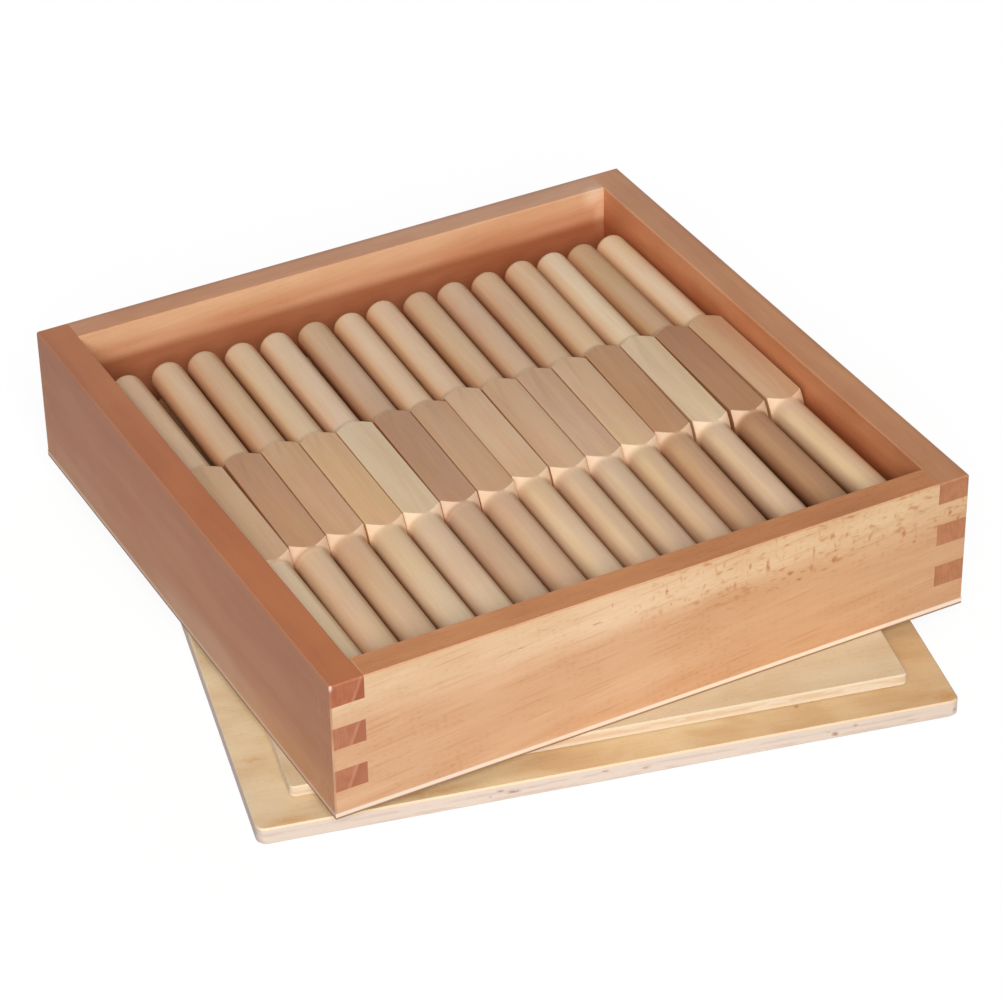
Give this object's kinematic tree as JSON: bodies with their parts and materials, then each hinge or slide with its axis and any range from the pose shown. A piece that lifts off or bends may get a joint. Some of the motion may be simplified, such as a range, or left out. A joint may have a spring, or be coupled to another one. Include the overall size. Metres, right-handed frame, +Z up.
{
  "type": "spindle box",
  "caption": "Finger-jointed beech tray packed with layers of square-waisted turned wooden spindles, standing on its own upturned plywood lid.",
  "frame": {"origin": "the middle of the lid's outer face, which rests on the table", "axes": "+Z up; X along the tray's front wall; Y from the front wall to the back wall"},
  "size_m": [0.2868, 0.2868, 0.0644],
  "materials": {
    "beech_walls": "clear satin lacquer on beech",
    "bottom_plywood": "thin pale plywood",
    "lid_plywood": "satin lacquered birch plywood",
    "inset_plywood": "satin lacquered birch plywood",
    "spindle_pale": "sanded hardwood, unfinished",
    "spindle_cream": "sanded hardwood, unfinished",
    "spindle_honey": "sanded hardwood, unfinished",
    "spindle_tan": "sanded hardwood, unfinished",
    "spindle_rosy": "sanded hardwood, unfinished",
    "spindle_brown": "sanded hardwood, unfinished"
  },
  "bodies": {
    "lid": {"lid_panel": "lid_plywood", "lid_inset": "inset_plywood"},
    "box": {"wall_front": "beech_walls", "wall_back": "beech_walls", "wall_left": "beech_walls", "wall_right": "beech_walls", "box_bottom": "bottom_plywood"},
    "spindle_bottom_01": {"spindle_bottom_01": "spindle_pale"},
    "spindle_bottom_02": {"spindle_bottom_02": "spindle_tan"},
    "spindle_bottom_03": {"spindle_bottom_03": "spindle_cream"},
    "spindle_bottom_04": {"spindle_bottom_04": "spindle_brown"},
    "spindle_bottom_05": {"spindle_bottom_05": "spindle_cream"},
    "spindle_bottom_06": {"spindle_bottom_06": "spindle_tan"},
    "spindle_bottom_07": {"spindle_bottom_07": "spindle_cream"},
    "spindle_bottom_08": {"spindle_bottom_08": "spindle_rosy"},
    "spindle_bottom_09": {"spindle_bottom_09": "spindle_tan"},
    "spindle_bottom_10": {"spindle_bottom_10": "spindle_pale"},
    "spindle_bottom_11": {"spindle_bottom_11": "spindle_cream"},
    "spindle_bottom_12": {"spindle_bottom_12": "spindle_honey"},
    "spindle_bottom_13": {"spindle_bottom_13": "spindle_tan"},
    "spindle_bottom_14": {"spindle_bottom_14": "spindle_cream"},
    "spindle_bottom_15": {"spindle_bottom_15": "spindle_tan"},
    "spindle_middle_01": {"spindle_middle_01": "spindle_tan"},
    "spindle_middle_02": {"spindle_middle_02": "spindle_cream"},
    "spindle_middle_03": {"spindle_middle_03": "spindle_rosy"},
    "spindle_middle_04": {"spindle_middle_04": "spindle_cream"},
    "spindle_middle_05": {"spindle_middle_05": "spindle_tan"},
    "spindle_middle_06": {"spindle_middle_06": "spindle_cream"},
    "spindle_middle_07": {"spindle_middle_07": "spindle_pale"},
    "spindle_middle_08": {"spindle_middle_08": "spindle_tan"},
    "spindle_middle_09": {"spindle_middle_09": "spindle_honey"},
    "spindle_middle_10": {"spindle_middle_10": "spindle_cream"},
    "spindle_middle_11": {"spindle_middle_11": "spindle_tan"},
    "spindle_middle_12": {"spindle_middle_12": "spindle_cream"},
    "spindle_middle_13": {"spindle_middle_13": "spindle_rosy"},
    "spindle_middle_14": {"spindle_middle_14": "spindle_tan"},
    "spindle_middle_15": {"spindle_middle_15": "spindle_cream"},
    "spindle_top_01": {"spindle_top_01": "spindle_cream"},
    "spindle_top_02": {"spindle_top_02": "spindle_tan"},
    "spindle_top_03": {"spindle_top_03": "spindle_tan"},
    "spindle_top_04": {"spindle_top_04": "spindle_honey"},
    "spindle_top_05": {"spindle_top_05": "spindle_pale"},
    "spindle_top_06": {"spindle_top_06": "spindle_rosy"},
    "spindle_top_07": {"spindle_top_07": "spindle_tan"},
    "spindle_top_08": {"spindle_top_08": "spindle_cream"},
    "spindle_top_09": {"spindle_top_09": "spindle_cream"},
    "spindle_top_10": {"spindle_top_10": "spindle_rosy"},
    "spindle_top_11": {"spindle_top_11": "spindle_cream"},
    "spindle_top_12": {"spindle_top_12": "spindle_brown"},
    "spindle_top_13": {"spindle_top_13": "spindle_pale"},
    "spindle_top_14": {"spindle_top_14": "spindle_brown"},
    "spindle_top_15": {"spindle_top_15": "spindle_tan"}
  },
  "joints": [
    {"name": "box_lift", "type": "slide", "parent": "lid", "child": "box", "axis": [0, 0, 1], "range_m": [0, 0.06]},
    {"name": "spindle_top_01_lift", "type": "slide", "parent": "spindle_middle_01", "child": "spindle_top_01", "axis": [0, 0, 1], "range_m": [0, 0.0324]},
    {"name": "spindle_top_02_lift", "type": "slide", "parent": "spindle_middle_02", "child": "spindle_top_02", "axis": [0, 0, 1], "range_m": [0, 0.0324]},
    {"name": "spindle_top_03_lift", "type": "slide", "parent": "spindle_middle_03", "child": "spindle_top_03", "axis": [0, 0, 1], "range_m": [0, 0.0324]},
    {"name": "spindle_top_04_lift", "type": "slide", "parent": "spindle_middle_04", "child": "spindle_top_04", "axis": [0, 0, 1], "range_m": [0, 0.0324]},
    {"name": "spindle_top_05_lift", "type": "slide", "parent": "spindle_middle_05", "child": "spindle_top_05", "axis": [0, 0, 1], "range_m": [0, 0.0324]},
    {"name": "spindle_top_06_lift", "type": "slide", "parent": "spindle_middle_06", "child": "spindle_top_06", "axis": [0, 0, 1], "range_m": [0, 0.0324]},
    {"name": "spindle_top_07_lift", "type": "slide", "parent": "spindle_middle_07", "child": "spindle_top_07", "axis": [0, 0, 1], "range_m": [0, 0.0324]},
    {"name": "spindle_top_08_lift", "type": "slide", "parent": "spindle_middle_08", "child": "spindle_top_08", "axis": [0, 0, 1], "range_m": [0, 0.0324]},
    {"name": "spindle_top_09_lift", "type": "slide", "parent": "spindle_middle_09", "child": "spindle_top_09", "axis": [0, 0, 1], "range_m": [0, 0.0324]},
    {"name": "spindle_top_10_lift", "type": "slide", "parent": "spindle_middle_10", "child": "spindle_top_10", "axis": [0, 0, 1], "range_m": [0, 0.0324]},
    {"name": "spindle_top_11_lift", "type": "slide", "parent": "spindle_middle_11", "child": "spindle_top_11", "axis": [0, 0, 1], "range_m": [0, 0.0324]},
    {"name": "spindle_top_12_lift", "type": "slide", "parent": "spindle_middle_12", "child": "spindle_top_12", "axis": [0, 0, 1], "range_m": [0, 0.0324]},
    {"name": "spindle_top_13_lift", "type": "slide", "parent": "spindle_middle_13", "child": "spindle_top_13", "axis": [0, 0, 1], "range_m": [0, 0.0324]},
    {"name": "spindle_top_14_lift", "type": "slide", "parent": "spindle_middle_14", "child": "spindle_top_14", "axis": [0, 0, 1], "range_m": [0, 0.0324]},
    {"name": "spindle_top_15_lift", "type": "slide", "parent": "spindle_middle_15", "child": "spindle_top_15", "axis": [0, 0, 1], "range_m": [0, 0.0324]},
    {"name": "spindle_middle_01_lift", "type": "slide", "parent": "spindle_bottom_01", "child": "spindle_middle_01", "axis": [0, 0, 1], "range_m": [0, 0.0462]},
    {"name": "spindle_middle_02_lift", "type": "slide", "parent": "spindle_bottom_02", "child": "spindle_middle_02", "axis": [0, 0, 1], "range_m": [0, 0.0462]},
    {"name": "spindle_middle_03_lift", "type": "slide", "parent": "spindle_bottom_03", "child": "spindle_middle_03", "axis": [0, 0, 1], "range_m": [0, 0.0462]},
    {"name": "spindle_middle_04_lift", "type": "slide", "parent": "spindle_bottom_04", "child": "spindle_middle_04", "axis": [0, 0, 1], "range_m": [0, 0.0462]},
    {"name": "spindle_middle_05_lift", "type": "slide", "parent": "spindle_bottom_05", "child": "spindle_middle_05", "axis": [0, 0, 1], "range_m": [0, 0.0462]},
    {"name": "spindle_middle_06_lift", "type": "slide", "parent": "spindle_bottom_06", "child": "spindle_middle_06", "axis": [0, 0, 1], "range_m": [0, 0.0462]},
    {"name": "spindle_middle_07_lift", "type": "slide", "parent": "spindle_bottom_07", "child": "spindle_middle_07", "axis": [0, 0, 1], "range_m": [0, 0.0462]},
    {"name": "spindle_middle_08_lift", "type": "slide", "parent": "spindle_bottom_08", "child": "spindle_middle_08", "axis": [0, 0, 1], "range_m": [0, 0.0462]},
    {"name": "spindle_middle_09_lift", "type": "slide", "parent": "spindle_bottom_09", "child": "spindle_middle_09", "axis": [0, 0, 1], "range_m": [0, 0.0462]},
    {"name": "spindle_middle_10_lift", "type": "slide", "parent": "spindle_bottom_10", "child": "spindle_middle_10", "axis": [0, 0, 1], "range_m": [0, 0.0462]},
    {"name": "spindle_middle_11_lift", "type": "slide", "parent": "spindle_bottom_11", "child": "spindle_middle_11", "axis": [0, 0, 1], "range_m": [0, 0.0462]},
    {"name": "spindle_middle_12_lift", "type": "slide", "parent": "spindle_bottom_12", "child": "spindle_middle_12", "axis": [0, 0, 1], "range_m": [0, 0.0462]},
    {"name": "spindle_middle_13_lift", "type": "slide", "parent": "spindle_bottom_13", "child": "spindle_middle_13", "axis": [0, 0, 1], "range_m": [0, 0.0462]},
    {"name": "spindle_middle_14_lift", "type": "slide", "parent": "spindle_bottom_14", "child": "spindle_middle_14", "axis": [0, 0, 1], "range_m": [0, 0.0462]},
    {"name": "spindle_middle_15_lift", "type": "slide", "parent": "spindle_bottom_15", "child": "spindle_middle_15", "axis": [0, 0, 1], "range_m": [0, 0.0462]},
    {"name": "spindle_bottom_01_lift", "type": "slide", "parent": "box", "child": "spindle_bottom_01", "axis": [0, 0, 1], "range_m": [0, 0.06]},
    {"name": "spindle_bottom_02_lift", "type": "slide", "parent": "box", "child": "spindle_bottom_02", "axis": [0, 0, 1], "range_m": [0, 0.06]},
    {"name": "spindle_bottom_03_lift", "type": "slide", "parent": "box", "child": "spindle_bottom_03", "axis": [0, 0, 1], "range_m": [0, 0.06]},
    {"name": "spindle_bottom_04_lift", "type": "slide", "parent": "box", "child": "spindle_bottom_04", "axis": [0, 0, 1], "range_m": [0, 0.06]},
    {"name": "spindle_bottom_05_lift", "type": "slide", "parent": "box", "child": "spindle_bottom_05", "axis": [0, 0, 1], "range_m": [0, 0.06]},
    {"name": "spindle_bottom_06_lift", "type": "slide", "parent": "box", "child": "spindle_bottom_06", "axis": [0, 0, 1], "range_m": [0, 0.06]},
    {"name": "spindle_bottom_07_lift", "type": "slide", "parent": "box", "child": "spindle_bottom_07", "axis": [0, 0, 1], "range_m": [0, 0.06]},
    {"name": "spindle_bottom_08_lift", "type": "slide", "parent": "box", "child": "spindle_bottom_08", "axis": [0, 0, 1], "range_m": [0, 0.06]},
    {"name": "spindle_bottom_09_lift", "type": "slide", "parent": "box", "child": "spindle_bottom_09", "axis": [0, 0, 1], "range_m": [0, 0.06]},
    {"name": "spindle_bottom_10_lift", "type": "slide", "parent": "box", "child": "spindle_bottom_10", "axis": [0, 0, 1], "range_m": [0, 0.06]},
    {"name": "spindle_bottom_11_lift", "type": "slide", "parent": "box", "child": "spindle_bottom_11", "axis": [0, 0, 1], "range_m": [0, 0.06]},
    {"name": "spindle_bottom_12_lift", "type": "slide", "parent": "box", "child": "spindle_bottom_12", "axis": [0, 0, 1], "range_m": [0, 0.06]},
    {"name": "spindle_bottom_13_lift", "type": "slide", "parent": "box", "child": "spindle_bottom_13", "axis": [0, 0, 1], "range_m": [0, 0.06]},
    {"name": "spindle_bottom_14_lift", "type": "slide", "parent": "box", "child": "spindle_bottom_14", "axis": [0, 0, 1], "range_m": [0, 0.06]},
    {"name": "spindle_bottom_15_lift", "type": "slide", "parent": "box", "child": "spindle_bottom_15", "axis": [0, 0, 1], "range_m": [0, 0.06]}
  ]
}
